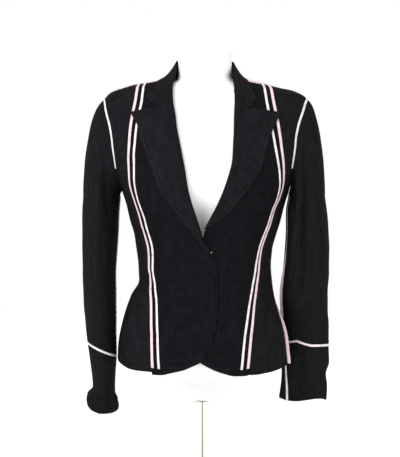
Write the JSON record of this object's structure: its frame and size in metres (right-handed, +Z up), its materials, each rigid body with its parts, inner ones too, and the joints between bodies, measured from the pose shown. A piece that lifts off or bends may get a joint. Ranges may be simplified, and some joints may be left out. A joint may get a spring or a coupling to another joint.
{
  "type": "blazer on a limbless dress form",
  "caption": "Fitted single-button blazer with peak lapels, ribbon-trimmed seams and long cuffed sleeves, worn by a limbless dress form on a pole and round foot.",
  "frame": {"origin": "middle of the underside of the stand's round foot, on the surface it stands on", "axes": "+Z up, the wearer faces -Y, the wearer's left side is at +X"},
  "size_m": [0.476, 0.3, 0.8289],
  "materials": {
    "cloth": "matte woven wool blend, near black",
    "satin": "pale pink satin ribbon",
    "form": "smooth white moulded shell",
    "chrome": "polished"
  },
  "bodies": {
    "root": {"armhole_ribbon_back_left": "satin", "armhole_ribbon_back_right": "satin", "armhole_ribbon_front_left": "satin", "armhole_ribbon_front_right": "satin", "back_left": "cloth", "back_right": "cloth", "collar": "cloth", "cuff_left": "cloth", "cuff_ribbon_left": "satin", "cuff_ribbon_right": "satin", "cuff_right": "cloth", "cuff_seam_ribbon_left": "satin", "cuff_seam_ribbon_right": "satin", "form": "form", "front_left": "cloth", "front_right": "cloth", "lapel_left": "cloth", "lapel_right": "cloth", "princess_ribbon_inner_left": "satin", "princess_ribbon_inner_right": "satin", "princess_ribbon_outer_left": "satin", "princess_ribbon_outer_right": "satin", "shoulder_ribbon_left": "satin", "shoulder_ribbon_right": "satin", "side_front_left": "cloth", "side_front_right": "cloth", "side_ribbon_left": "satin", "side_ribbon_right": "satin", "sleeve_seam_ribbon_left": "satin", "sleeve_seam_ribbon_right": "satin", "stand_foot": "chrome", "stand_pole": "chrome", "under_sleeve_left": "cloth", "under_sleeve_right": "cloth", "upper_sleeve_left": "cloth", "upper_sleeve_right": "cloth"}
  },
  "joints": []
}
